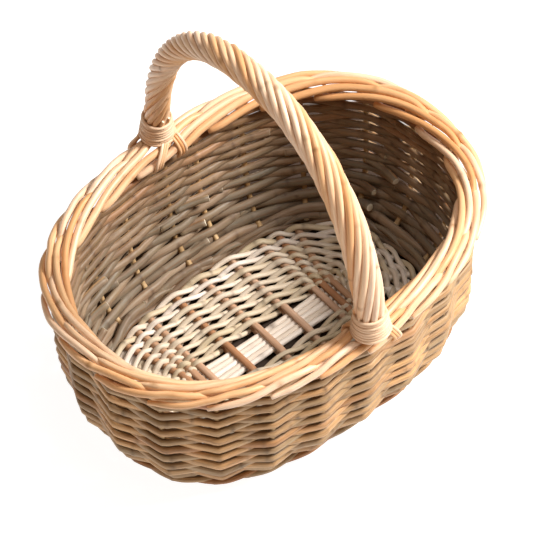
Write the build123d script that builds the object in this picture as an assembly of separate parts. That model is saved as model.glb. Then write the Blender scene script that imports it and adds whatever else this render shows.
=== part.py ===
from build123d import *
import os
from math import cos, exp, hypot, pi, radians, sin, tan

# Oval willow egg basket with a fixed rope handle, in millimetres.
# +Z is up, +X runs along the basket, and the origin lies on the ground under its middle.

# Driving sizes
RIM_HALF_LENGTH = 205.0  # to the middle of the plaited border
RIM_HALF_WIDTH = 148.6
RIM_SQUARENESS = 2.34  # exponent of the rim oval; 2 would be a plain ellipse
RIM_Z = 163.0
BASE_HALF_LENGTH = 159.0  # to the outer edge of the base
BASE_HALF_WIDTH = 101.7
BASE_SQUARENESS = 2.77
BASE_Z = 7.6  # middle plane of the base sticks
FLARE_RATE = 4.2  # the wall leaves the base nearly flat, then turns up: a higher rate turns sooner
FLARE_POWER = 0.65

STAKE_COUNT = 22  # one stands at the middle of each long side
STAKE_RADIUS = 2.6
STAKE_TOP_Z = 155.0
STAKE_BEND_Z = (7.6, 9.5, 12.0, 15.5, 20.0, 27.0, 38.0, 55.0, 80.0, 115.0)
STAKE_DRIFT = {19: 0.2, 20: 0.33, 21: 0.3}  # stakes that stand off their even place, in spacings

SIDE_ROW_COUNT = 23
SIDE_ROW_RADIUS = 2.7
SIDE_ROW_FIRST_Z = 18.0
SIDE_ROW_PITCH = 6.01
SIDE_BEND_RADIUS = 12.0
SIDE_ROW_OFFSET = STAKE_RADIUS + SIDE_ROW_RADIUS + 1.6  # corner of a row, beside its stake

HEEL_RADIUS = 3.6  # thick row that turns the base up into the sides, and that the basket rests on
HEEL_OFFSET = 15.0  # from the base's outer edge
HEEL_WORN = 0.5

CROSS_STICK_RADIUS = 3.5
CROSS_STICK_X = (-89.0, -79.5, -70.0, -35.0, 0.0, 35.0, 70.0, 79.5, 89.0)
CROSS_STICK_TIP_X = (-106.0, -87.0, -68.0, -34.0, 0.0, 34.0, 68.0, 87.0, 106.0)
CROSS_STICK_BEND_Y = 24.0
LONG_STICK_RADIUS = 2.7
LONG_STICK_PITCH = 7.6
LONG_STICK_COUNT = 5
LONG_STICK_BEND_X = 102.0
LONG_STICK_BEND_SHARE = 0.15  # of the run beside the bend that the bend takes up
LONG_STICK_FAN_Y = 27.0  # spread between the tips of neighbouring long sticks
STICK_FIT = 0.15  # play around a long stick in the split of a cross stick
STICK_END_GAP = 4.0  # from a stick's end to the outer edge of the base

BASE_ROW_COUNT = 8
BASE_ROW_RADIUS = 1.9
BASE_ROW_FIRST = (100.0, 27.0)  # half length and half width of the innermost base row
BASE_ROW_LAST = (147.0, 90.0)
BASE_ROW_POINTS = 24

BORDER_RADIUS = 3.1
BORDER_END_DROP = 7.0  # of a rod's ends below the rim's height
BORDER_STEP = 6.8  # how far a border rod moves inward from one stake to the next
BORDER_SPAN = 3  # stakes that a border rod passes
BORDER_PART = 4.7  # how far the rods part at a handle foot

HANDLE_HALF_WIDTH = 155.0
HANDLE_RISE = 225.8
HANDLE_SQUARENESS = 2.26
HANDLE_STATIONS = 49
HANDLE_FOOT_ANGLE = 1.3
BOW_RADIUS = 7.2
BOW_TENON_RADIUS = 3.7
BOW_TENON_BEND_Z = 172.5
STRAND_COUNT = 12
STRAND_RADIUS = 2.4
STRAND_REACH = 10.1  # from the middle of the bow to the middle of a strand
STRAND_TURNS = 3.0

BINDING_TURNS = 7
BINDING_RADIUS = 1.5
BINDING_PITCH = 3.2
BINDING_REACH = STRAND_REACH + STRAND_RADIUS + BINDING_RADIUS + 0.3
LASHING_RADIUS = 1.6
LASHING_PITCH = 3.7
LASHING_STRANDS = 3


def oval_point(half_length, half_width, squareness, angle):
    """A point of an oval that is squarer than an ellipse."""
    c = cos(angle)
    s = sin(angle)
    x = half_length * abs(c) ** (2 / squareness) * (1 if c >= 0 else -1)
    y = half_width * abs(s) ** (2 / squareness) * (1 if s >= 0 else -1)
    return x, y


def flare(z):
    """How far the wall has come at a height, from 0 at the base's outline to 1 at the rim's."""
    t = max(z - BASE_Z, 0.0) / (RIM_Z - BASE_Z)
    return (1 - exp(-FLARE_RATE * t**FLARE_POWER)) / (1 - exp(-FLARE_RATE))


def wall_point(angle, z):
    """A point of the wall at a height."""
    t = flare(z)
    low = oval_point(BASE_HALF_LENGTH, BASE_HALF_WIDTH, BASE_SQUARENESS, angle)
    high = oval_point(RIM_HALF_LENGTH, RIM_HALF_WIDTH, RIM_SQUARENESS, angle)
    return low[0] + t * (high[0] - low[0]), low[1] + t * (high[1] - low[1])


def even_angles(count, point_at, drift={}, steps=2880):
    """Oval angles spaced evenly along the oval, apart from any drift, from the middle of the +Y side."""
    angles = [pi / 2 + 2 * pi * i / steps for i in range(steps + 1)]
    points = [point_at(a) for a in angles]
    lengths = [0.0]
    for a, b in zip(points, points[1:]):
        lengths.append(lengths[-1] + hypot(b[0] - a[0], b[1] - a[1]))
    found = []
    i = 0
    for k in range(count):
        goal = lengths[-1] * (k + drift.get(k, 0)) / count
        while lengths[i + 1] < goal:
            i += 1
        share = (goal - lengths[i]) / (lengths[i + 1] - lengths[i])
        found.append(angles[i] + share * (angles[i + 1] - angles[i]))
    return found


STAKE_ANGLES = even_angles(STAKE_COUNT, lambda a: wall_point(a, RIM_Z), STAKE_DRIFT)


def outward(angle, z):
    """Level unit vector that points straight out of the basket."""
    a = wall_point(angle - 0.01, z)
    b = wall_point(angle + 0.01, z)
    return Vector(b[1] - a[1], a[0] - b[0], 0).normalized()


def offset_point(angle, z, across):
    """A point level with a wall point and a distance from the wall, outward if across is positive."""
    slope = (flare(z + 0.5) - flare(z - 0.5)) * (RIM_HALF_LENGTH - BASE_HALF_LENGTH)
    reach = across * hypot(1, slope)
    return Vector(*wall_point(angle, z), z) + outward(angle, z) * reach


def bend_radii(points, share, closed=False):
    """The arc at each corner that takes up a share of the shorter run beside it."""
    corners = range(len(points)) if closed else range(1, len(points) - 1)
    radii = []
    for i in corners:
        before = points[i] - points[i - 1]
        after = points[(i + 1) % len(points)] - points[i]
        turn = radians(before.get_angle(after))
        radii.append(share * min(before.length, after.length) / tan(turn / 2))
    return radii


def open_rod(points, radius, share=0.45):
    """A round rod along straight runs and tangent arcs."""
    path = FilletPolyline(*points, radius=bend_radii(points, share))
    return sweep(Plane(path @ 0, z_dir=path % 0) * Circle(radius), path=path)


def closed_rod(points, radius, bend=None):
    """A round rod bent to a closed ring."""
    radii = bend or bend_radii(points, 0.4, closed=True)
    path = FilletPolyline(*points, radius=radii, close=True)
    return sweep(Plane(path @ 0, z_dir=path % 0) * Circle(radius), path=path)


def straight_rod(start, end, radius):
    start = Vector(start)
    end = Vector(end)
    run = end - start
    return Plane(start, z_dir=run) * Cylinder(radius, run.length, align=(Align.CENTER, Align.CENTER, Align.MIN))


def base_edge_y(x):
    """Half width of the base at a place along it."""
    return BASE_HALF_WIDTH * (1 - (abs(x) / BASE_HALF_LENGTH) ** BASE_SQUARENESS) ** (1 / BASE_SQUARENESS)


def cross_stick(x, tip_x):
    """A stick across the base, split in the middle for the long sticks, with its ends spread."""
    reach = base_edge_y(tip_x) - STICK_END_GAP
    if x == tip_x:
        stick = straight_rod((x, -reach, BASE_Z), (x, reach, BASE_Z), CROSS_STICK_RADIUS)
    else:
        corners = ((tip_x, -reach), (x, -CROSS_STICK_BEND_Y), (x, CROSS_STICK_BEND_Y), (tip_x, reach))
        stick = open_rod([Vector(px, py, BASE_Z) for px, py in corners], CROSS_STICK_RADIUS)
    split_half = (LONG_STICK_COUNT // 2) * LONG_STICK_PITCH + LONG_STICK_RADIUS + STICK_FIT
    split_height = 2 * (LONG_STICK_RADIUS + STICK_FIT)
    split = Box(4 * CROSS_STICK_RADIUS, 2 * split_half, split_height)
    return stick - Pos(x, 0, BASE_Z) * split


def long_stick(place):
    """A stick along the base whose ends fan out beyond the cross sticks."""
    y = place * LONG_STICK_PITCH
    tip_y = place * LONG_STICK_FAN_Y
    tip_x = BASE_HALF_LENGTH * (1 - (abs(tip_y) / BASE_HALF_WIDTH) ** BASE_SQUARENESS) ** (1 / BASE_SQUARENESS)
    tip_x -= STICK_END_GAP
    if place == 0:
        return straight_rod((-tip_x, 0, BASE_Z), (tip_x, 0, BASE_Z), LONG_STICK_RADIUS)
    corners = ((-tip_x, tip_y), (-LONG_STICK_BEND_X, y), (LONG_STICK_BEND_X, y), (tip_x, tip_y))
    points = [Vector(px, py, BASE_Z) for px, py in corners]
    return open_rod(points, LONG_STICK_RADIUS, LONG_STICK_BEND_SHARE)


def base_row(index):
    """One row of base weave: a rod over the sticks and a rod under them."""
    t = index / (BASE_ROW_COUNT - 1)
    half_length = BASE_ROW_FIRST[0] + t * (BASE_ROW_LAST[0] - BASE_ROW_FIRST[0])
    half_width = BASE_ROW_FIRST[1] + t * (BASE_ROW_LAST[1] - BASE_ROW_FIRST[1])

    def point_at(angle):
        return oval_point(half_length, half_width, BASE_SQUARENESS, angle)

    lift = CROSS_STICK_RADIUS + BASE_ROW_RADIUS + 0.1
    rods = []
    for z in (BASE_Z - lift, BASE_Z + lift):
        points = [Vector(*point_at(a), z) for a in even_angles(BASE_ROW_POINTS, point_at)]
        rods.append(closed_rod(points, BASE_ROW_RADIUS))
    return rods


def heel():
    """The thick lowest row, worn flat where it touches the ground."""
    z = HEEL_RADIUS - HEEL_WORN
    points = [offset_point(a, z, HEEL_OFFSET) for a in STAKE_ANGLES]
    ring = closed_rod(points, HEEL_RADIUS)
    room = 4 * HEEL_RADIUS
    below = Pos(0, 0, -room / 2) * Box(3 * BASE_HALF_LENGTH, 3 * BASE_HALF_WIDTH, room)
    return ring - below


def side_row(index):
    """A row of side weave that passes in front of one stake and behind the next."""
    z = SIDE_ROW_FIRST_Z + index * SIDE_ROW_PITCH
    points = []
    for k, angle in enumerate(STAKE_ANGLES):
        side = 1 if (k + index) % 2 else -1
        points.append(offset_point(angle, z, side * SIDE_ROW_OFFSET))
    return closed_rod(points, SIDE_ROW_RADIUS, [SIDE_BEND_RADIUS] * STAKE_COUNT)


def stake(angle):
    """A rod that leaves the base's edge, turns up and stands in the wall."""
    heights = (*STAKE_BEND_Z, STAKE_TOP_Z)
    return open_rod([Vector(*wall_point(angle, z), z) for z in heights], STAKE_RADIUS)


def border_rod(first):
    """A rod that crosses the rim from its outer edge to its inner edge, counter-clockwise from above."""
    middle = BORDER_SPAN / 2
    stations = [(-0.45, 0.3, -BORDER_END_DROP)]
    for step in range(BORDER_SPAN + 1):
        crown = 2.6 if step in (1, 2) else -1.6
        stations.append((step, 0.0, crown))
    stations.append((BORDER_SPAN + 0.45, -0.2, -BORDER_END_DROP))
    points = []
    for place, extra, height in stations:
        k = min(max(round(place), 0), BORDER_SPAN)
        across = BORDER_STEP * (middle - k - extra)
        if place == k and (first + k) % (STAKE_COUNT // 2) == 0:
            across += BORDER_PART if across > 0 else -BORDER_PART
        whole = int(place // 1)
        share = place - whole
        here = STAKE_ANGLES[(first + whole) % STAKE_COUNT]
        after = STAKE_ANGLES[(first + whole + 1) % STAKE_COUNT]
        after += 2 * pi if after < here else 0.0
        point = offset_point(here + share * (after - here), RIM_Z, across)
        points.append(point + Vector(0, 0, height))
    return open_rod(points, BORDER_RADIUS)


def handle_line(angle):
    """A point of the handle's middle line, in the plane across the basket."""
    y, z = oval_point(HANDLE_HALF_WIDTH, HANDLE_RISE, HANDLE_SQUARENESS, angle)
    return Vector(0, y, RIM_Z + z)


def handle_stations():
    """Evenly spaced points of the handle from foot to foot, with the outward direction at each."""
    foot = radians(HANDLE_FOOT_ANGLE)
    steps = 1440
    angles = [foot + (pi - 2 * foot) * i / steps for i in range(steps + 1)]
    line = [handle_line(a) for a in angles]
    lengths = [0.0]
    for a, b in zip(line, line[1:]):
        lengths.append(lengths[-1] + (b - a).length)
    stations = []
    for k in range(HANDLE_STATIONS):
        goal = lengths[-1] * k / (HANDLE_STATIONS - 1)
        i = min(range(len(line)), key=lambda j: abs(lengths[j] - goal))
        before = line[max(i - 1, 0)]
        after = line[min(i + 1, steps)]
        along = (after - before).normalized()
        stations.append((line[i], Vector(0, along.Z, -along.Y), along))
    return stations


HANDLE = handle_stations()


def bow():
    """The stiff core of the handle, with a thinner end let into each side of the border."""
    solid = open_rod([place for place, _, _ in HANDLE], BOW_RADIUS)
    for side in (-1, 1):
        foot = Vector(0, side * RIM_HALF_WIDTH, STAKE_TOP_Z + 0.5)
        bend = Vector(0, side * RIM_HALF_WIDTH, BOW_TENON_BEND_Z)
        neck = Vector(0, side * HANDLE[1][0].Y, HANDLE[1][0].Z)
        solid = solid + open_rod([foot, bend, neck], BOW_TENON_RADIUS)
    return solid


def strand(index):
    """A rod wound round the bow from one foot to the other."""
    points = []
    for i, (place, out, _) in enumerate(HANDLE):
        turn = 2 * pi * (index / STRAND_COUNT - STRAND_TURNS * i / (HANDLE_STATIONS - 1))
        points.append(place + out * (STRAND_REACH * cos(turn)) + Vector(STRAND_REACH * sin(turn), 0, 0))
    return open_rod(points, STRAND_RADIUS)


def binding(side):
    """Turns of thin rod that hold the strands together above the border."""
    place, _, along = HANDLE[0] if side > 0 else HANDLE[-1]
    along = along if side > 0 else along * -1
    rings = []
    for turn in range(BINDING_TURNS):
        centre = place + along * (BINDING_RADIUS + 0.4 + turn * BINDING_PITCH)
        rings.append(Plane(centre, z_dir=along) * Torus(BINDING_REACH, BINDING_RADIUS))
    return rings


def lashing(side):
    """Thin rods that hook the handle's foot to the inner and the outer edge of the border."""
    edge = BORDER_STEP * BORDER_SPAN / 2 + BORDER_PART + BORDER_RADIUS + LASHING_RADIUS + 0.3
    rods = []
    for face in (-1, 1):
        for k in range(LASHING_STRANDS):
            x = (k - (LASHING_STRANDS - 1) / 2) * LASHING_PITCH
            profile = ((edge - 3.4, 8.6), (edge, 1.0), (edge, -6.0), (edge - 4.0, -14.0))
            points = [
                Vector(x, side * (RIM_HALF_WIDTH + face * across), RIM_Z + height)
                for across, height in profile
            ]
            rods.append(open_rod(points, LASHING_RADIUS))
    return rods


def save(name, *solids):
    shape = solids[0] if len(solids) == 1 else Compound(children=list(solids))
    export_step(shape, f"parts/{name}.step")


os.makedirs("parts", exist_ok=True)

for number, (middle_x, end_x) in enumerate(zip(CROSS_STICK_X, CROSS_STICK_TIP_X), 1):
    save(f"cross_stick_{number}", cross_stick(middle_x, end_x))
for number in range(LONG_STICK_COUNT):
    save(f"long_stick_{number + 1}", long_stick(number - LONG_STICK_COUNT // 2))
for number in range(BASE_ROW_COUNT):
    save(f"base_row_{number + 1:02d}", *base_row(number))
save("heel_row", heel())
for number in range(SIDE_ROW_COUNT):
    save(f"side_row_{number + 1:02d}", side_row(number))
save("stakes", *[stake(a) for a in STAKE_ANGLES])
save("border_rods", *[border_rod(k) for k in range(STAKE_COUNT)])
save("handle_bow", bow())
save("handle_strands", *[strand(k) for k in range(STRAND_COUNT)])
for name, y_side in (("left", -1), ("right", 1)):
    save(f"foot_binding_{name}", *binding(y_side))
    save(f"foot_lashing_{name}", *lashing(y_side))
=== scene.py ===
"""Looks of an oval willow egg basket with a rope handle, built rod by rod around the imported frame."""
import math
import random

import bpy
import numpy as np
from mathutils import Matrix, Vector


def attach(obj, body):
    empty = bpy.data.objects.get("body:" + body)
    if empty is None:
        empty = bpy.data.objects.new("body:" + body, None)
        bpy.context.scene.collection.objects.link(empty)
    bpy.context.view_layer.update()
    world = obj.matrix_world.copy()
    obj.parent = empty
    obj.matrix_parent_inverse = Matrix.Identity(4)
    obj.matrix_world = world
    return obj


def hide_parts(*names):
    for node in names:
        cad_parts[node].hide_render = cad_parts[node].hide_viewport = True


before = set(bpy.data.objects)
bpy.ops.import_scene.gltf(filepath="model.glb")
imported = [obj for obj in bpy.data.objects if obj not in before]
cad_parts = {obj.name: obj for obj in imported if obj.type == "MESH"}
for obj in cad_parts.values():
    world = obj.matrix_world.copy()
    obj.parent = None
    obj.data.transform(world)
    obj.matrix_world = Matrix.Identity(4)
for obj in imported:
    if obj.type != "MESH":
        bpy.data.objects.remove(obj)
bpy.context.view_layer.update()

MM = 0.001
SEED = 7

# Oval of the wall, the same as the frame's, in millimetres
RIM_HALF = (205.0, 148.6)
RIM_SQUARENESS = 2.34
RIM_Z = 163.0
BASE_HALF = (159.0, 101.7)
BASE_SQUARENESS = 2.77
BASE_Z = 7.6
FLARE_RATE = 4.2  # the wall leaves the base nearly flat, then turns up
FLARE_POWER = 0.65
STAKE_COUNT = 22
DRIFT_PLACE = (18, 19, 20, 21, 22)  # stakes that stand off their even place, by DRIFT spacings
DRIFT = (0, 0.2, 0.33, 0.3, 0)
FINE = 16  # samples of a row from one stake to the next

# Side weave
SIDE_ROWS = 23
SIDE_LOW_Z = 9.0
SIDE_HIGH_Z = 151.0
SIDE_LEVELS = (0, 0.3, 0.6, 0.85, 1)  # shares of the rows, from the lowest up
SIDE_THICK = (4.0, 3.3, 3.05, 2.8, 2.6)  # rod radius at those shares
SIDE_TAPER = 0.2  # how much thinner a rod's tip is than its butt
SIDE_SWING = 4.5  # how far a rod swings in and out of the wall's middle
SIDE_CALM = 0.15  # how much less the top row swings, where the weave closes up
SIDE_CORNER = 0.97  # nearer 1 bends a rod more sharply at a stake
VALLEY = 2.0  # how far the wall dips between two stakes
SIDE_TALL = 1.42  # rods are packed down, so they are taller than they are deep
STAKE_RADIUS = 2.7
LAP = 7  # samples that a rod's butt starts before its first stake
TIP_LAP = FINE + 6  # samples that its tip runs on past the butt
TIP_THIN = 0.8  # thickness of the lap
LOOSE_ROWS = (2, 5, 9)  # rows where new rods were let in, so that their ends show inside
LOOSE_PLACES = (2.3, 5.4, 9.5, 13.2, 17.1, 20.6)
LOOSE_DRIFT = 0.8
LOOSE_RUN = (0.6, 0.9)  # length of a loose end, in spacings of the stakes
LOOSE_ACROSS = (-11.0, -7.5)  # how far its cut stands inside the wall
LOOSE_RADIUS = (3.0, 4.1)

# Heel
HEEL_ROD = 3.3
HEEL_PAIRS = ((3.9, 15.0), (6.8, 21.5))  # height of each pair, and how far outside the base it lies
FOOT_Z = 3.0  # height at which the wall's outline is taken for the heel
EDGE_RODS = ((3.4, 7.9, 1), (7.2, 8.6, -1))  # across, height and phase of the rods at the base's edge

# Base
LONG_STICKS = 5
LONG_PITCH = 7.6
LONG_RADIUS = 3.0
LONG_BEND_X = 95.0
LONG_FAN_Y = 27.0
CROSS_RADIUS = 3.6
CROSS_STICKS = (  # x in the middle and at the tips
    (-89.0, -106.0), (-79.5, -87.0), (-70.0, -68.0), (-35.0, -34.0), (0.0, -1.0),
    (35.0, 34.0), (70.0, 68.0), (79.5, 87.0), (89.0, 106.0))
STICK_SHORT = 4.0  # how far the sticks stop short of the base's edge
SPLIT_HALF = 21.0
SPLIT_SAMPLES = 22
BASE_ROWS = 8
BASE_ROW_FIRST = (98.0, 24.5)
BASE_ROW_LAST = (154.5, 98.0)
BASE_ROD = 2.8
BASE_ROD_FLAT = 0.8  # rods of the base are pressed wider than they are tall
BASE_LIFT = CROSS_RADIUS + 1.45  # how far a rod rises and dips over and under the sticks

# Border
BORDER_ROD = 3.65
KNUCKLE_ROD = 3.4
BORDER_TAPER = ((0, 0.8, 1), (1.04, 0.96, 0.72))  # thickness along a rod
STAKE_SCALE = (48.0, 1, 1)  # millimetres between stakes, to smooth paths in
FOOT_PART = 3.6  # how far the border's rods part round a foot of the handle

# Handle
HANDLE_HALF_WIDTH = 155.0
HANDLE_RISE = 225.8
HANDLE_SQUARENESS = 2.26
STRANDS = 10
STRAND_ROD = 2.85
STRAND_BELLY = 0.35  # how much thicker a strand is at the top of the handle
ROPE_REACH = 8.7  # from the middle of the rope to the middle of a strand, at the feet
ROPE_TWIST_RADIUS = 10.0  # at which the lean is measured
ROPE_BELLY = 1.9  # how much more that is at the top
HANDLE_SWELL = 1.9  # how much thicker the rope lies near the front foot
LEAN_SHARES = (0, 0.3, 0.5, 0.75, 1.0)  # places along the handle, from the far foot to the front one
LEAN_DEGREES = (20, 28, 26, 14, 9)  # how far the strands lean there
BINDING_ROD = 1.65
BINDING_TURNS = 8.0
BINDING_LOW = 3.0
BINDING_HEIGHT = 25.0
BINDING_WIDTHS = (17.2, 15.4, 13.2)  # from the middle of the rope, from the border up
BUTT_ROD = 1.4  # ends of the binding rods that stick up out of it

# Painted shadow on the floor: a dark patch behind the basket, which the basket hides from the main camera
# but not from other angles
PAINTED_SHADOW_MIDDLE = (74.0, 98.0)
PAINTED_SHADOW_HALF = (207.0, 151.0)
# painted shadow: the colour of the dark patch on the floor
PAINTED_SHADOW_COLOR = (0.05, 0.03, 0.02)
FLOOR_COLOR = (0.3, 0.3, 0.3)
FLOOR_GLOW = 0.93

# Camera, in degrees, metres and millimetres
CAMERA_AZIMUTH = -37.3
CAMERA_ELEVATION = 51.2
CAMERA_ROLL = -3.0
CAMERA_DISTANCE = 8.2
CAMERA_TARGET = (2.7, 1.4, 115.0)
CAMERA_LENS = 595.7

# Lights: name, place, watts, size and colour
LIGHTS = (
    ("key", (1.9, -1.3, 2.3), 170, 0.8, (1.0, 0.97, 0.92)),
    ("top", (0.1, -0.3, 3.0), 22, 1.4, (1.0, 0.98, 0.95)),
    ("fill", (-1.8, -1.6, 1.2), 2, 1.6, (1.0, 0.6, 0.3)))
AMBIENT_COLOR = (1.0, 0.72, 0.48, 1)
AMBIENT_STRENGTH = 0.17

rng = random.Random(SEED)


# ---------------------------------------------------------------- shapes of the oval wall

def oval_point(half, squareness, angle):
    c, s = math.cos(angle), math.sin(angle)
    x = half[0] * math.copysign(abs(c) ** (2 / squareness), c)
    y = half[1] * math.copysign(abs(s) ** (2 / squareness), s)
    return np.array((x, y))


def even_angles(count, point_at, steps=5760):
    """Angles evenly spaced along an oval, starting at the middle of the +Y side."""
    angles = np.linspace(math.pi / 2, math.pi * 5 / 2, steps + 1)
    points = np.array([point_at(a) for a in angles])
    lengths = np.concatenate(([0.0], np.cumsum(np.linalg.norm(np.diff(points, axis=0), axis=1))))
    return np.interp(np.arange(count) * lengths[-1] / count, lengths, angles)


WALL_ANGLES = even_angles(STAKE_COUNT * FINE, lambda a: oval_point(RIM_HALF, RIM_SQUARENESS, a))
LOW_OVAL = np.array([oval_point(BASE_HALF, BASE_SQUARENESS, a) for a in WALL_ANGLES])
HIGH_OVAL = np.array([oval_point(RIM_HALF, RIM_SQUARENESS, a) for a in WALL_ANGLES])


def outward_of(ring):
    """Unit vectors square to a closed ring of points, pointing outward."""
    along = np.roll(ring, -1, axis=0) - np.roll(ring, 1, axis=0)
    out = np.stack((along[:, 1], -along[:, 0]), axis=1)
    return out / np.linalg.norm(out, axis=1, keepdims=True)


def flare(z):
    """How far the wall has come at a height, from 0 at the base's outline to 1 at the rim's."""
    t = np.maximum(z - BASE_Z, 0.0) / (RIM_Z - BASE_Z)
    return (1 - np.exp(-FLARE_RATE * t ** FLARE_POWER)) / (1 - math.exp(-FLARE_RATE))


def wall(place, z, across):
    """Points of the wall. place counts stakes from the middle of the +Y side, across is square to it."""
    place, z, across = np.broadcast_arrays(np.asarray(place, float), z, across)
    drift = np.interp(place % STAKE_COUNT, DRIFT_PLACE, DRIFT)
    index = ((place + drift) * FINE) % (STAKE_COUNT * FINE)
    low = index.astype(int)
    share = (index - low)[:, None]
    high = (low + 1) % (STAKE_COUNT * FINE)
    t = flare(z)[:, None]

    def on(ring):
        return ring[low] * (1 - share) + ring[high] * share

    flat = on(LOW_OVAL) * (1 - t) + on(HIGH_OVAL) * t
    out = on(outward_of(LOW_OVAL)) * (1 - t) + on(outward_of(HIGH_OVAL)) * t
    out /= np.linalg.norm(out, axis=1, keepdims=True)
    slope = (flare(z + 1.0) - flare(z - 1.0)) / 2 * (RIM_HALF[0] - BASE_HALF[0])
    steep = 1 / np.hypot(1, slope)
    flat = flat + out * (across * steep)[:, None]
    return np.column_stack((flat, z - across * steep * slope))


def wall_out(points_in, place, z, across):
    """Unit vectors square to the wall at points of it."""
    step = wall(place, z, np.asarray(across) + 1.0) - points_in
    return step / np.linalg.norm(step, axis=1, keepdims=True)


def zigzag(place, sharp=SIDE_CORNER):
    """A swing between +1 and -1 that turns at each stake, nearly straight in between."""
    return np.arcsin(sharp * np.cos(math.pi * place)) / math.asin(sharp)


# ---------------------------------------------------------------- rods

CAP_RINGS = ((0.82, 0.12), (0.45, 0.16))  # size and height of the rings of a cut end, in radii
CAP_TOP = 0.17
KNOT_LENGTH = 1.9
KNOT_SWELL = 0.13  # how much thicker a rod is at a leaf scar


class Rods:
    """Collects rods into one mesh, with the coordinates that the willow materials follow."""

    def __init__(self, name):
        self.name = name
        self.verts, self.faces, self.space = [], [], []
        self.tint, self.knot, self.cut, self.side = [], [], [], []

    def rod(self, points, radii, tint=None, sides=10, closed=False, up=None, flat=1.0,
            knots=0.0, outward=None):
        """A round rod along points, cut square at its ends.

        flat stretches it along up, knots is the spacing of its leaf scars, and outward holds the
        directions out of the basket, for a material with painted shade on what faces inward."""
        points = np.asarray(points, float)
        count = len(points)
        radii = np.broadcast_to(np.asarray(radii, float), (count,)).copy()
        tint = rng.random() if tint is None else tint
        shift = rng.uniform(0, 50)
        along, normals, sideways = self.frames(points, closed, up)
        steps = np.linalg.norm(np.diff(points, axis=0), axis=1)
        length = np.concatenate(([0.0], np.cumsum(steps)))
        knot = self.leaf_scars(length, knots)
        radii *= 1 + KNOT_SWELL * knot
        scar = rng.uniform(0, 2 * math.pi)
        start = len(self.verts)
        angles = np.arange(sides) * 2 * math.pi / sides
        for i in range(count):
            for a in angles:
                ring = normals[i] * math.cos(a) * flat + sideways[i] * math.sin(a)
                space = (length[i] + shift * 40, math.cos(a) * radii[i], math.sin(a) * radii[i])
                self.point(points[i] + ring * radii[i], space, tint,
                           knot=knot[i] * (0.35 + 0.65 * max(0.0, math.cos(a - scar))),
                           side=0.0 if outward is None else float(np.dot(ring, outward[i])))
        for i in range(count if closed else count - 1):
            a, b = start + i * sides, start + ((i + 1) % count) * sides
            for j in range(sides):
                k = (j + 1) % sides
                self.faces.append((a + j, a + k, b + k, b + j))
        if not closed:
            self.cap(points[0], -along[0], start, sides, radii[0], tint, shift, True)
            last = start + (count - 1) * sides
            self.cap(points[-1], along[-1], last, sides, radii[-1], tint, shift, False)

    def frames(self, points, closed, up):
        """Unit vectors along a rod and two ways across it, at each of its points."""
        if closed:
            ahead, behind = np.roll(points, -1, axis=0), np.roll(points, 1, axis=0)
        else:
            ahead = np.vstack((points[1:], points[-1:]))
            behind = np.vstack((points[:1], points[:-1]))
        along = ahead - behind
        along /= np.linalg.norm(along, axis=1, keepdims=True)
        if up is None:
            up = (0, 0, 1) if abs(along[0][2]) < 0.9 else (1, 0, 0)
        first = np.array(up, float)
        normals = np.empty_like(points)
        carried = first
        for i, ahead_here in enumerate(along):
            base = first if closed else carried
            normal = base - ahead_here * np.dot(base, ahead_here)
            carried = normal / np.linalg.norm(normal)
            normals[i] = carried
        return along, normals, np.cross(along, normals)

    def leaf_scars(self, length, spacing):
        """How much of a leaf scar there is at each place along a rod, from 0 to 1."""
        knot = np.zeros(len(length))
        if not spacing:
            return knot
        place = rng.uniform(0.2, 1.0) * spacing
        while place < length[-1]:
            knot = np.maximum(knot, np.exp(-((length - place) / KNOT_LENGTH) ** 2))
            place += spacing * rng.uniform(0.6, 1.5)
        return knot

    def point(self, place, space, tint, knot=0.0, cut=0.0, side=0.0):
        self.verts.append(place)
        self.space.append(space)
        self.tint.append(tint)
        self.knot.append(knot)
        self.cut.append(cut)
        self.side.append(side)

    def cap(self, centre, out, ring_start, sides, radius, tint, shift, flip):
        """Closes an end with a cut face that has a small bevel."""
        ring = [self.verts[ring_start + j] for j in range(sides)]
        before = ring_start
        for share, lift in CAP_RINGS:
            here = len(self.verts)
            for j in range(sides):
                space = (shift * 40, share * radius * math.cos(j), share * radius * math.sin(j))
                self.point(centre + (ring[j] - centre) * share + out * radius * lift, space, tint, cut=1.0)
            self.join(before, here, sides, flip)
            before = here
        top = len(self.verts)
        self.point(centre + out * radius * CAP_TOP, (shift * 40, 0.0, 0.0), tint, cut=1.0)
        for j in range(sides):
            k = (j + 1) % sides
            self.faces.append((before + k, before + j, top) if flip else (before + j, before + k, top))

    def join(self, a, b, sides, flip):
        for j in range(sides):
            k = (j + 1) % sides
            face = (a + j, a + k, b + k, b + j)
            self.faces.append(face[::-1] if flip else face)

    def build(self, material, slot, *nodes):
        mesh = bpy.data.meshes.new(self.name)
        mesh.from_pydata([tuple(np.asarray(v) * MM) for v in self.verts], [], self.faces)
        mesh.polygons.foreach_set("use_smooth", [True] * len(mesh.polygons))
        space = mesh.attributes.new("rod_space", "FLOAT_VECTOR", "POINT")
        space.data.foreach_set("vector", (np.array(self.space) * MM).ravel())
        for name, values in (("rod_tint", self.tint), ("rod_knot", self.knot), ("rod_cut", self.cut),
                             ("rod_side", self.side)):
            layer = mesh.attributes.new(name, "FLOAT", "POINT")
            layer.data.foreach_set("value", values)
        mesh.materials.append(material)
        mesh.update()
        piece = bpy.data.objects.new(self.name, mesh)
        bpy.context.scene.collection.objects.link(piece)
        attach(piece, "root")
        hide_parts(*nodes)
        return piece


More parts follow.
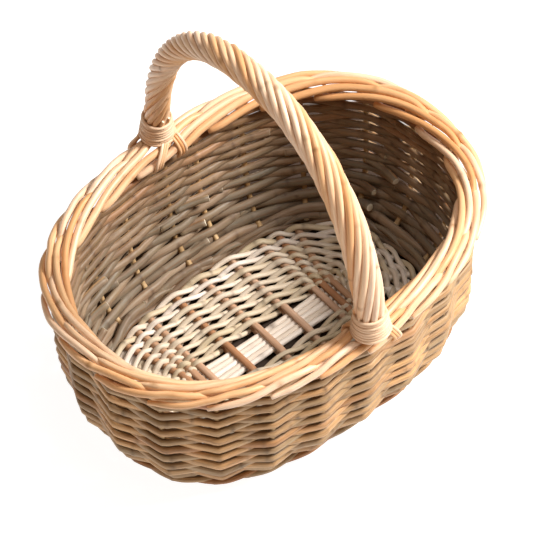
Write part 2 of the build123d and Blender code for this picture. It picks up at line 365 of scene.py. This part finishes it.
def smooth_path(points, spacing=4.0):
    """A Catmull-Rom curve through points, sampled about every spacing millimetres."""
    points = np.asarray(points, float)
    padded = np.vstack((2 * points[0] - points[1], points, 2 * points[-1] - points[-2]))
    out = []
    for i in range(len(points) - 1):
        p0, p1, p2, p3 = padded[i:i + 4]
        steps = max(2, int(np.linalg.norm(p2 - p1) / spacing))
        for t in np.arange(steps) / steps:
            out.append(0.5 * (2 * p1 + (p2 - p0) * t + (2 * p0 - 5 * p1 + 4 * p2 - p3) * t ** 2
                              + (3 * p1 - p0 - 3 * p2 + p3) * t ** 3))
    out.append(points[-1])
    return np.array(out)


# ---------------------------------------------------------------- materials

INSIDE_WARM_FROM = 70.0  # height from which the inside of the weave turns from grey to orange brown
KNOT_DARK = 0.75
BUMP_DEPTH = 0.0006
INSIDE_WARMTH = (1.35, 0.86, 0.55)  # what the painted-shade inside tints are multiplied by at the rim


def node(tree, kind, **values):
    made = tree.nodes.new(kind)
    for key, value in values.items():
        if key in made.inputs:
            made.inputs[key].default_value = value
        else:
            setattr(made, key, value)
    return made


def ramp(tree, stops):
    made = tree.nodes.new("ShaderNodeValToRGB")
    while len(made.color_ramp.elements) < len(stops):
        made.color_ramp.elements.new(0.5)
    for element, (place, color) in zip(made.color_ramp.elements, stops):
        element.position = place
        element.color = (*color, 1.0)
    return made


def mix(tree, kind, factor, a, b):
    made = tree.nodes.new("ShaderNodeMix")
    made.data_type = "RGBA"
    made.blend_type = kind
    for socket, value in ((made.inputs[0], factor), (made.inputs[6], a), (made.inputs[7], b)):
        if isinstance(value, bpy.types.NodeSocket):
            tree.links.new(value, socket)
        elif isinstance(value, tuple):
            socket.default_value = (*value, 1.0)
        else:
            socket.default_value = value
    return made.outputs[2]


def scaled(tree, source, scale):
    made = tree.nodes.new("ShaderNodeMapping")
    made.inputs["Scale"].default_value = scale
    tree.links.new(source, made.inputs["Vector"])
    return made.outputs[0]


def attribute(tree, name, output="Fac"):
    return node(tree, "ShaderNodeAttribute", attribute_name=name).outputs[output]


def noise(tree, space, scale, **values):
    made = node(tree, "ShaderNodeTexNoise", Scale=1.0, **values)
    tree.links.new(scaled(tree, space, scale), made.inputs["Vector"])
    return made.outputs["Fac"]


def math_node(tree, operation, *inputs, clamp=False):
    made = node(tree, "ShaderNodeMath", operation=operation, use_clamp=clamp)
    for socket, value in zip(made.inputs, inputs):
        if isinstance(value, bpy.types.NodeSocket):
            tree.links.new(value, socket)
        else:
            socket.default_value = value
    return made.outputs[0]


def inward(tree):
    """1 where a rod faces into the basket, 0 where it faces out."""
    # mask of the painted shade on the inside of the basket
    turned = node(tree, "ShaderNodeMapRange", interpolation_type="SMOOTHSTEP")
    turned.inputs["From Min"].default_value = 0.35
    turned.inputs["From Max"].default_value = -0.25
    tree.links.new(attribute(tree, "rod_side"), turned.inputs["Value"])
    return turned.outputs[0]


def warmed(tree, color):
    """A color that turns more orange from INSIDE_WARM_FROM up to the rim."""
    place = node(tree, "ShaderNodeSeparateXYZ")
    tree.links.new(node(tree, "ShaderNodeTexCoord").outputs["Object"], place.inputs[0])
    high = node(tree, "ShaderNodeMapRange")
    high.inputs["From Min"].default_value = INSIDE_WARM_FROM * MM
    high.inputs["From Max"].default_value = RIM_Z * MM
    tree.links.new(place.outputs["Z"], high.inputs["Value"])
    return mix(tree, "MULTIPLY", high.outputs[0], color, INSIDE_WARMTH)


def willow(name, tints, streak_color, streak=0.35, blotch=0.3, blotch_color=(0.2, 0.12, 0.06),
           knot_color=(0.08, 0.04, 0.02), cut_color=(0.85, 0.78, 0.62), roughness=0.5, bump=0.35,
           inside=None):
    """A willow rod: its own tint, streaks along it, blotches, leaf scars and pale cut ends.

    inside tints what faces into the basket: painted shade, darker and greyer than what faces out."""
    material = bpy.data.materials.new(name)
    material.use_nodes = True
    tree = material.node_tree
    shader = tree.nodes["Principled BSDF"]
    link = tree.links.new
    space = attribute(tree, "rod_space", "Vector")
    streaks = noise(tree, space, (28.0, 620.0, 620.0), Detail=5.0, Roughness=0.6)
    streak_ramp = ramp(tree, ((0.38, (0, 0, 0)), (0.66, (1, 1, 1))))
    link(streaks, streak_ramp.inputs[0])
    blotches = noise(tree, space, (38.0, 150.0, 150.0), Detail=3.0, Roughness=0.55)
    blotch_ramp = ramp(tree, ((0.5, (0, 0, 0)), (0.74, (1, 1, 1))))
    link(blotches, blotch_ramp.inputs[0])

    sway = math_node(tree, "MULTIPLY_ADD", noise(tree, space, (9.0, 40.0, 40.0), Detail=2.0), 0.7, -0.35)
    shade = math_node(tree, "ADD", attribute(tree, "rod_tint"), sway, clamp=True)

    def spread(colors):
        made = ramp(tree, tuple((i / (len(colors) - 1), c) for i, c in enumerate(colors)))
        link(shade, made.inputs[0])
        return made.outputs[0]

    own = spread(tints)
    if inside:
        # painted shade: what faces into the basket takes the darker, greyer inside tints
        own = mix(tree, "MIX", inward(tree), own, warmed(tree, spread(inside)))
    color = own
    for where, amount, layer in ((streak_ramp.outputs[0], streak, streak_color),
                                 (blotch_ramp.outputs[0], blotch, blotch_color),
                                 (attribute(tree, "rod_knot"), KNOT_DARK, knot_color)):
        color = mix(tree, "MIX", math_node(tree, "MULTIPLY", where, amount), color, layer)
    color = mix(tree, "MIX", attribute(tree, "rod_cut"), color, cut_color)
    link(color, shader.inputs["Base Color"])

    relief = node(tree, "ShaderNodeBump", Strength=bump, Distance=BUMP_DEPTH)
    link(math_node(tree, "ADD", streaks, blotches), relief.inputs["Height"])
    link(relief.outputs[0], shader.inputs["Normal"])
    link(math_node(tree, "MULTIPLY_ADD", streaks, 0.22, roughness - 0.11), shader.inputs["Roughness"])
    shader.inputs["Specular IOR Level"].default_value = 0.35
    return material


HONEY = willow(
    "honey_willow", ((0.72, 0.38, 0.17), (0.85, 0.54, 0.30), (0.89, 0.63, 0.42), (0.93, 0.73, 0.56)),
    (0.58, 0.26, 0.09), streak=0.42, blotch=0.28, blotch_color=(0.54, 0.23, 0.07),
    knot_color=(0.30, 0.13, 0.04), roughness=0.4, bump=0.35)
BARK = willow(
    "bark_willow",
    ((0.44, 0.20, 0.08), (0.60, 0.36, 0.17), (0.43, 0.30, 0.17), (0.78, 0.46, 0.21), (0.54, 0.28, 0.16)),
    (0.20, 0.085, 0.03), streak=0.55, blotch=0.4, blotch_color=(0.26, 0.18, 0.09), roughness=0.48, bump=0.8,
    # painted shade inside the basket: darker, greyer tints for what faces inward
    inside=((0.155, 0.115, 0.08), (0.26, 0.21, 0.15), (0.19, 0.165, 0.125), (0.36, 0.27, 0.19),
            (0.20, 0.14, 0.095)))
BUFF = willow(
    "buff_willow", ((0.46, 0.29, 0.13), (0.62, 0.44, 0.24)), (0.36, 0.20, 0.08), roughness=0.5)
WHITE = willow(
    "white_willow", ((0.70, 0.60, 0.50), (0.80, 0.71, 0.62), (0.88, 0.80, 0.73)),
    (0.56, 0.42, 0.32), streak=0.12, blotch=0.25, blotch_color=(0.56, 0.42, 0.33), roughness=0.55)
CREAM = willow(
    "cream_willow", ((0.56, 0.46, 0.29), (0.72, 0.62, 0.48), (0.80, 0.71, 0.61), (0.86, 0.79, 0.73)),
    (0.46, 0.33, 0.22), streak=0.4, blotch=0.35, blotch_color=(0.40, 0.29, 0.16), roughness=0.5)
STICK = willow(
    "tan_stick", ((0.44, 0.21, 0.10), (0.55, 0.32, 0.19), (0.62, 0.42, 0.30)),
    (0.26, 0.13, 0.07), streak=0.4, blotch=0.25, roughness=0.5)


# ---------------------------------------------------------------- side weave

def side_radii():
    """Radius of every side row at every sample, with each rod thinner towards its tip."""
    place = np.arange(STAKE_COUNT * FINE) / FINE
    rows = []
    for i in range(SIDE_ROWS):
        thick = np.interp(i / (SIDE_ROWS - 1), SIDE_LEVELS, SIDE_THICK) * rng.uniform(0.94, 1.06)
        start = (i * 0.618034 * STAKE_COUNT) % STAKE_COUNT
        gone = ((place - start) % STAKE_COUNT) / STAKE_COUNT
        rows.append((start, thick * (1 + SIDE_TAPER * (0.5 - gone))))
    return rows


def side_heights(rows):
    """Height of every row, so that thick stretches push their neighbours apart along the wall."""
    radii = np.array([r for _, r in rows])
    steps = radii[:-1] + radii[1:]
    climbed = np.vstack((np.zeros(radii.shape[1]), np.cumsum(steps, axis=0)))
    z = np.linspace(SIDE_LOW_Z, SIDE_HIGH_Z, 400)
    run = flare(z) * (RIM_HALF[0] - BASE_HALF[0])
    length = np.concatenate(([0.0], np.cumsum(np.hypot(np.diff(z), np.diff(run)))))
    return np.interp(climbed * length[-1] / climbed[-1], length, z)


def side_weave():
    """Rows that go in front of one stake and behind the next, each a rod whose tip laps over its butt."""
    rows = side_radii()
    heights = side_heights(rows)
    total = STAKE_COUNT * FINE
    for i, (start, radii) in enumerate(rows):
        rods = Rods(f"side_rod_{i + 1:02d}")
        first = int(round(start)) * FINE
        index = np.arange(first - LAP, first + total + TIP_LAP)
        place = index / FINE
        radius = radii[index % total].copy()
        radius *= np.where(index > first + total - 2, TIP_THIN, 1.0)
        side = 1 if i % 2 else -1
        fraction = place % 1.0
        dip = VALLEY * (1 - (2 * fraction - 1) ** 2)
        calm = 1 - SIDE_CALM * i / (SIDE_ROWS - 1)
        across = side * SIDE_SWING * calm * zigzag(place) - dip
        across += np.where(index < first, -1.0, 0.0) * (first - index) * 0.35
        wobble = 0.5 * np.sin(place * 1.7 + i * 2.1) + 0.35 * np.sin(place * 4.3 + i)
        z = heights[i][index % total] + wobble
        tail = np.clip((index - (first + total)) / TIP_LAP, 0, 1)
        across = across - 2.6 * np.clip(tail * 3, 0, 1)
        points = wall(place, z, across)
        outward = wall_out(points, place, z, across)
        points[:, 2] = np.maximum(points[:, 2], radius * SIDE_TALL * 1.13)
        rods.rod(points, radius, knots=rng.uniform(35, 60), sides=10, up=(0, 0, 1), flat=SIDE_TALL,
                 outward=outward)
        if i in LOOSE_ROWS:
            loose_ends(rods, np.mean(heights[i]) + 1.0)
        rods.build(BARK, "side_weave", f"side_row_{i + 1:02d}")


def loose_ends(rods, z):
    """Butts and tips of side rods, which stop inside the wall against a stake."""
    for place in LOOSE_PLACES:
        start = place + rng.uniform(-LOOSE_DRIFT, LOOSE_DRIFT)
        run = rng.uniform(*LOOSE_RUN)
        across = rng.uniform(*LOOSE_ACROSS)
        radius = rng.uniform(*LOOSE_RADIUS)
        at = np.linspace(0, 1, 8)
        places = start + run * at
        heights = z + 1.5 * np.sin(at * 2 + start)
        points = wall(places, heights, across * (1 - at) ** 1.4 - 4.0)
        rods.rod(points, radius * (1 - 0.1 * at), knots=40, outward=wall_out(points, places, heights, -4.0))


def stakes():
    """Uprights that the side rows are woven round."""
    rods = Rods("stake_rods")
    for k in range(STAKE_COUNT):
        z = BASE_Z + 1.0 + (RIM_Z - 7 - BASE_Z) * np.linspace(0, 1, 24) ** 1.8
        points = wall(np.full(24, float(k)), z, 0.3 * np.sin(z / 17 + k))
        rods.rod(points, np.linspace(STAKE_RADIUS + 0.15, STAKE_RADIUS - 0.1, 24), knots=70)
    rods.build(BUFF, "stake", "stakes")


def at_foot(place, z, across):
    """Points at heights z, outside the foot of the wall."""
    points = wall(place, FOOT_Z, across)
    points[:, 2] += z - FOOT_Z
    return points


def heel():
    """Pairs of thick rods twisted round the stakes at the foot of the wall, and two at the base's edge."""
    rods = Rods("heel_rods")
    place = np.arange(STAKE_COUNT * FINE) / FINE
    for level, outside in HEEL_PAIRS:
        for side in (1, -1):
            swing = zigzag(place, 0.9)
            lift = 2.2 * side * np.sin(math.pi * place)
            z = np.maximum(level + lift * 0.55, HEEL_ROD * 1.19)
            across = outside + side * (STAKE_RADIUS + HEEL_ROD) * 0.45 * swing
            rods.rod(at_foot(place, z, across), HEEL_ROD * (1 + 0.05 * np.sin(place * 0.57 + side)),
                     closed=True, knots=70,
                     outward=wall_out(wall(place, FOOT_Z, across), place, FOOT_Z, across))
    lift = (STAKE_RADIUS + HEEL_ROD) * 0.75
    for across, level, side in EDGE_RODS:
        z = np.maximum(level + side * lift * zigzag(place, 0.9), HEEL_ROD)
        # their tops count as facing into the basket, so they take the painted inside shade
        rods.rod(at_foot(place, z, across), HEEL_ROD * 0.9, closed=True, knots=50,
                 outward=np.tile((0.0, 0.0, -1.0), (len(z), 1)))
    rods.build(BARK, "side_weave", "heel_row")


# ---------------------------------------------------------------- base

def base_reach(tip, half_along, half_across):
    """How far a stick reaches across the base, a little short of its edge, at tip along it."""
    edge = half_across * (1 - (abs(tip) / half_along) ** BASE_SQUARENESS) ** (1 / BASE_SQUARENESS)
    return edge - STICK_SHORT


def stick_lines():
    """Middle lines of the base sticks as (name, points), in the base's plane."""
    lines = []
    for number, (middle, tip) in enumerate(CROSS_STICKS, 1):
        reach = base_reach(tip, *BASE_HALF)
        line = [(tip, -reach), (middle, -SPLIT_HALF - 3), (middle, SPLIT_HALF + 3), (tip, reach)]
        lines.append((f"cross_stick_{number}", np.array(line)))
    for number in range(LONG_STICKS):
        k = number - LONG_STICKS // 2
        tip_y = k * LONG_FAN_Y
        reach = base_reach(tip_y, *BASE_HALF[::-1])
        y = k * LONG_PITCH
        line = [(-reach, tip_y), (-LONG_BEND_X, y), (LONG_BEND_X, y), (reach, tip_y)]
        lines.append((f"long_stick_{number + 1}", np.array(line)))
    return lines


def base_sticks(lines):
    """White sticks along the base, threaded through the split middles of the brown ones across it."""
    for name, line in lines:
        rods = Rods(name.replace("stick", "rod"))
        flat = np.column_stack((line, np.full(4, BASE_Z)))
        if name.startswith("long"):
            rods.rod(smooth_path(flat, 5.0), LONG_RADIUS, tint=rng.uniform(0.2, 1.0), knots=90)
            rods.build(WHITE, "white_stick", name)
            continue
        tint = rng.random()
        path = smooth_path(flat, 5.0)
        for sign in (-1, 1):
            end = path[path[:, 1] * sign > SPLIT_HALF - 3.0]
            rods.rod(end, CROSS_RADIUS, tint=tint)
        y = np.linspace(-SPLIT_HALF - 4, SPLIT_HALF + 4, SPLIT_SAMPLES)
        open_share = np.clip((SPLIT_HALF + 4 - abs(y)) / 7, 0, 1) ** 0.6
        for level in (1, -1):
            z = BASE_Z + level * (1.3 + 2.9 * open_share)
            half = np.column_stack((np.full(SPLIT_SAMPLES, line[1][0]), y, z))
            rods.rod(half, CROSS_RADIUS, tint=tint, up=(0, 0, 1), flat=0.6)
        rods.build(STICK, "base_stick", name)


def crossings(half, lines):
    """The outline of a row of base weave, the length along it, and where along it it meets the sticks."""
    angles = np.linspace(math.pi / 2, math.pi * 5 / 2, 2881)
    ring = np.array([oval_point(half, BASE_SQUARENESS, a) for a in angles])
    length = np.concatenate(([0.0], np.cumsum(np.linalg.norm(np.diff(ring, axis=0), axis=1))))
    found = []
    for _, line in lines:
        for a, b in ((line[1], line[0]), (line[2], line[3])):
            t = np.linspace(-0.3, 1.6, 400)[:, None]
            points = a + (b - a) * t
            level = np.sum((abs(points) / half) ** BASE_SQUARENESS, axis=1)
            hit = points[np.argmin(abs(level - 1))]
            found.append(length[np.argmin(np.linalg.norm(ring - hit, axis=1))])
    return ring, length, np.sort(np.array(found))


def base_weave(lines):
    """Rows of two rods twisted round each other, one over and one under each stick."""
    for j in range(BASE_ROWS):
        t = j / (BASE_ROWS - 1)
        half = tuple(a + t * (b - a) for a, b in zip(BASE_ROW_FIRST, BASE_ROW_LAST))
        ring, length, hits = crossings(half, lines)
        out = outward_of(ring[:-1])
        out = np.vstack((out, out[:1]))
        count = max(240, int(length[-1] / 2.6))
        at = np.arange(count) * length[-1] / count
        knots = np.concatenate((hits, [hits[0] + length[-1]]))
        phase = np.interp(np.where(at < hits[0], at + length[-1], at), knots, np.arange(len(knots)))
        x = np.interp(at, length, ring[:, 0])
        y = np.interp(at, length, ring[:, 1])
        normal = np.column_stack([np.interp(at, length, out[:, i]) for i in (0, 1)])
        rods = Rods(f"base_pair_{j + 1:02d}")
        for side in (1, -1):
            z = BASE_Z + side * BASE_LIFT * zigzag(phase, 0.93)
            shift = side * BASE_ROD * 0.86 * np.sin(math.pi * phase) + 0.35 * np.sin(at / 23 + j * 2)
            points = np.column_stack((x + normal[:, 0] * shift, y + normal[:, 1] * shift, z))
            taper = BASE_ROD * (1 + 0.12 * np.sin(2 * math.pi * at / length[-1] + j * 1.9 + side))
            rods.rod(points, taper, closed=True, sides=8, knots=60, flat=BASE_ROD_FLAT)
        rods.build(CREAM, "base_weave", f"base_row_{j + 1:02d}")


# ---------------------------------------------------------------- border

# Path of the two parts of a border rod: stakes back from its own, across the wall, height over the rim
TAIL = ((-2.75, -8.0, -9.5), (-2.5, -11.4, -6.0), (-2.0, -10.8, -0.6), (-1.5, -7.8, 3.2), (-1.0, -4.6, 5.2),
        (-0.5, -0.6, 6.0), (-0.1, 2.4, 5.7), (0.12, 3.0, 4.4), (0.32, 2.6, 1.2), (0.45, 2.2, -1.5))
TURN = ((-1.15, -3.0, -7.0), (-0.97, 0.8, -3.2), (-0.8, 4.2, 0.8), (-0.5, 6.7, 4.2), (-0.2, 8.3, 4.6),
        (0.0, 9.9, 3.7), (0.25, 11.9, 1.0), (0.5, 12.9, -1.5), (0.75, 12.9, -4.0), (1.0, 12.4, -6.4),
        (1.14, 12.0, -8.2))


def part_at_feet(place, across):
    """Pushes the border's rods apart where a handle foot goes down between them."""
    for foot in (0, STAKE_COUNT / 2, STAKE_COUNT):
        near = np.exp(-((place - foot) / 0.3) ** 2)
        across = across + FOOT_PART * near * np.sign(across - 1.5)
    return across


def border():
    """Each stake bent over into a plait: a rod along the inside and over the rim, and its turn outward."""
    rods = Rods("border_plait")
    for k in range(STAKE_COUNT):
        for route, radius in ((TAIL, BORDER_ROD), (TURN, KNUCKLE_ROD)):
            jitter = rng.uniform(-0.06, 0.06)
            steps = np.array(route)
            place = k - (steps[:, 0] + jitter)
            wobble = np.array([rng.uniform(-0.5, 0.5) for _ in steps])
            across = part_at_feet(place % STAKE_COUNT, steps[:, 1] + wobble)
            raw = np.column_stack((place, across, RIM_Z + steps[:, 2]))
            fine = smooth_path(raw * STAKE_SCALE, 4.0) / STAKE_SCALE
            points = wall(fine[:, 0], fine[:, 2], fine[:, 1])
            size = radius * rng.uniform(0.93, 1.07)
            radii = size * np.interp(np.linspace(0, 1, len(points)), *BORDER_TAPER)
            rods.rod(points, radii, knots=rng.uniform(90, 200), sides=12)
    rods.build(HONEY, "border", "border_rods")


# ---------------------------------------------------------------- handle

def handle_line(count=260, foot=1.0):
    """Middle line of the handle: points, directions along it and out of it, shares of it, and its length."""
    angles = np.radians(np.linspace(foot, 180 - foot, 4001))
    line = np.array([oval_point((HANDLE_HALF_WIDTH, HANDLE_RISE), HANDLE_SQUARENESS, a) for a in angles])
    length = np.concatenate(([0.0], np.cumsum(np.linalg.norm(np.diff(line, axis=0), axis=1))))
    at = np.linspace(0, length[-1], count)
    y = np.interp(at, length, line[:, 0])
    z = np.interp(at, length, line[:, 1]) + RIM_Z
    centre = np.column_stack((np.zeros(count), y, z))
    along = np.gradient(centre, axis=0)
    along /= np.linalg.norm(along, axis=1, keepdims=True)
    out = np.column_stack((np.zeros(count), along[:, 2], -along[:, 1]))
    return centre, along, out, at / length[-1], length[-1]


def handle():
    """Strands wound round the handle like a rope."""
    centre, _, out, share, length = handle_line()
    lean = np.radians(np.interp(share, LEAN_SHARES, LEAN_DEGREES))
    belly = np.sin(math.pi * np.clip(share, 0, 1)) ** 0.7
    slim = ROPE_REACH + ROPE_BELLY * belly
    reach = slim + HANDLE_SWELL * np.interp(share, (0.6, 0.85), (0, 1))
    turn = np.concatenate(([0.0], np.cumsum(np.tan(lean) / ROPE_TWIST_RADIUS * length / len(share))[:-1]))
    rods = Rods("handle_rope")
    across = np.array((1.0, 0.0, 0.0))
    for k in range(STRANDS):
        angle = 2 * math.pi * (k + rng.uniform(-0.08, 0.08)) / STRANDS - turn
        lift = reach + rng.uniform(-0.2, 0.3) + 0.25 * np.sin(share * 9 + k * 2)
        points = centre + out * (lift * np.cos(angle))[:, None] + across * (lift * np.sin(angle))[:, None]
        radii = (STRAND_ROD + STRAND_BELLY * belly) * (1 + 0.05 * math.sin(k * 2.4)) * reach / slim
        rods.rod(points, radii, knots=rng.uniform(120, 240), sides=10)
    rods.build(HONEY, "handle", "handle_strands")


def binding(side, name):
    """A thin rod wound round the handle's foot, wider towards the border."""
    centre, along, out, share, length = handle_line()
    if side < 0:
        centre, along, out = centre[::-1], -along[::-1], out[::-1]
    step = length / len(share)
    count = int(BINDING_TURNS * 30)
    rods = Rods(f"foot_binding_rod_{name}")
    turn = np.linspace(0, BINDING_TURNS, count)
    up = BINDING_LOW + BINDING_HEIGHT * turn / BINDING_TURNS
    index = up / step
    middle = np.column_stack([np.interp(index, np.arange(len(centre)), centre[:, i]) for i in range(3)])
    outward = np.column_stack([np.interp(index, np.arange(len(out)), out[:, i]) for i in range(3)])
    swell = HANDLE_SWELL if side < 0 else 0.0
    wide = np.interp(up, (0, 8, BINDING_HEIGHT), BINDING_WIDTHS) + swell + 0.25 * np.sin(turn * 2.6 + side)
    angle = 2 * math.pi * turn + 0.8
    points = middle + outward * (wide * np.cos(angle))[:, None]
    points[:, 0] += wide * np.sin(angle)
    rods.rod(points, BINDING_ROD, sides=8)
    for k in range(3):
        a = math.radians(200 + 38 * k if side < 0 else 120 + 40 * k)
        i = int((BINDING_HEIGHT + 4) / step)
        reach = 12.2 + swell
        low = centre[i] + out[i] * reach * math.cos(a) + np.array((reach * math.sin(a), 0, 0))
        tip = low + along[i] * 7 + out[i] * 1.2 * math.cos(a) + np.array((1.4, 0, 0)) * (k - 1)
        rods.rod(smooth_path([low - along[i] * 4, low, tip], 2.0), BUTT_ROD, sides=8)
    rods.build(HONEY, "handle", f"foot_binding_{name}")


def lashing(side, name):
    """Three thin rods side by side, over the border beside the foot: two groups inside, one outside."""
    rods = Rods(f"foot_lashing_rod_{name}")
    foot_y = HANDLE_HALF_WIDTH - RIM_HALF[1]
    profile_in = ((foot_y - 13.5, 12.0), (-13.0, 8.0), (-17.0, 2.0), (-17.6, -5.0), (-14.0, -13.0))
    profile_out = ((foot_y + 10.0, 13.0), (15.0, 9.0), (19.0, 0.0), (19.4, -6.0), (16.0, -13.0))
    groups = ((profile_in, 9.0, 11.0), (profile_in, -1.0, -18.0), (profile_out, -8.0, -21.0))
    for profile, start_x, end_x in groups:
        for k in range(3):
            points = []
            for i, (across, height) in enumerate(profile):
                x = start_x + (end_x - start_x) * min(i / 2.5, 1.0) + (k - 1) * 3.3
                points.append((x * side, side * (RIM_HALF[1] + across), RIM_Z + height))
            rods.rod(smooth_path(points, 2.5), BINDING_ROD, sides=8)
    rods.build(HONEY, "handle", f"foot_lashing_{name}")


# ---------------------------------------------------------------- stage, camera and lights

def floor():
    """A white floor with a painted shadow, a dark patch behind the basket, which makes gaps in the weave
    look dark.
    """
    bpy.ops.mesh.primitive_plane_add(size=8.0, location=(0, 0, -0.0005))
    plane = bpy.context.object
    plane.name = "floor"
    material = bpy.data.materials.new("floor")
    material.use_nodes = True
    tree = material.node_tree
    shader = tree.nodes["Principled BSDF"]
    shader.inputs["Roughness"].default_value = 0.9
    shader.inputs["Emission Color"].default_value = (1, 1, 1, 1)
    place = node(tree, "ShaderNodeTexCoord").outputs["Object"]
    mapped = tree.nodes.new("ShaderNodeMapping")
    shifts = [-middle / half for middle, half in zip(PAINTED_SHADOW_MIDDLE, PAINTED_SHADOW_HALF)]
    mapped.inputs["Location"].default_value = (*shifts, 0)
    mapped.inputs["Scale"].default_value = (1 / (PAINTED_SHADOW_HALF[0] * MM), 1 / (PAINTED_SHADOW_HALF[1] * MM), 0)
    tree.links.new(place, mapped.inputs["Vector"])
    parts = node(tree, "ShaderNodeSeparateXYZ")
    tree.links.new(mapped.outputs[0], parts.inputs[0])
    powers = []
    for axis in (0, 1):
        size = math_node(tree, "ABSOLUTE", parts.outputs[axis])
        powers.append(math_node(tree, "POWER", size, RIM_SQUARENESS))
    # 0 inside the painted shadow patch, 1 on the evenly lit floor around it
    lit = node(tree, "ShaderNodeMapRange", interpolation_type="SMOOTHSTEP")
    lit.inputs["From Min"].default_value = 0.82
    lit.inputs["From Max"].default_value = 1.0
    tree.links.new(math_node(tree, "ADD", *powers), lit.inputs["Value"])
    color = mix(tree, "MIX", lit.outputs[0], PAINTED_SHADOW_COLOR, FLOOR_COLOR)
    tree.links.new(color, shader.inputs["Base Color"])
    glow = math_node(tree, "MULTIPLY", lit.outputs[0], FLOOR_GLOW)
    tree.links.new(glow, shader.inputs["Emission Strength"])
    plane.data.materials.append(material)


def camera():
    azimuth, elevation, roll = map(math.radians, (CAMERA_AZIMUTH, CAMERA_ELEVATION, CAMERA_ROLL))
    level = math.cos(elevation)
    back = Vector((math.sin(azimuth) * level, -math.cos(azimuth) * level, math.sin(elevation)))
    right = Vector((math.cos(azimuth), math.sin(azimuth), 0))
    up = back.cross(right)
    right, up = (math.cos(roll) * right + math.sin(roll) * up,
                 -math.sin(roll) * right + math.cos(roll) * up)
    target = Vector(CAMERA_TARGET) * MM
    made = bpy.data.objects.new("camera", bpy.data.cameras.new("camera"))
    made.data.sensor_width = 36.0
    made.data.lens = CAMERA_LENS
    made.data.clip_end = 50.0
    bpy.context.scene.collection.objects.link(made)
    turned = Matrix((right, up, back)).transposed().to_4x4()
    made.matrix_world = Matrix.Translation(target + back * CAMERA_DISTANCE) @ turned
    bpy.context.scene.camera = made


def light(name, place, energy, size, color):
    data = bpy.data.lights.new(name, "AREA")
    data.energy = energy
    data.size = size
    data.color = color
    made = bpy.data.objects.new(name, data)
    made.location = place
    made.rotation_euler = (Vector((0, 0, 0.1)) - Vector(place)).to_track_quat("-Z", "Y").to_euler()
    bpy.context.scene.collection.objects.link(made)


def studio():
    bpy.context.scene.view_settings.view_transform = "Standard"
    world = bpy.data.worlds.new("studio")
    bpy.context.scene.world = world
    world.use_nodes = True
    background = world.node_tree.nodes["Background"]
    background.inputs["Color"].default_value = AMBIENT_COLOR
    background.inputs["Strength"].default_value = AMBIENT_STRENGTH
    for values in LIGHTS:
        light(*values)


camera()
studio()
floor()
side_weave()
stakes()
heel()
STICKS = stick_lines()
base_sticks(STICKS)
base_weave(STICKS)
border()
handle()
for label, foot_side in (("right", 1), ("left", -1)):
    binding(foot_side, label)
    lashing(foot_side, label)
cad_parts["handle_bow"].data.materials.clear()
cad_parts["handle_bow"].data.materials.append(HONEY)
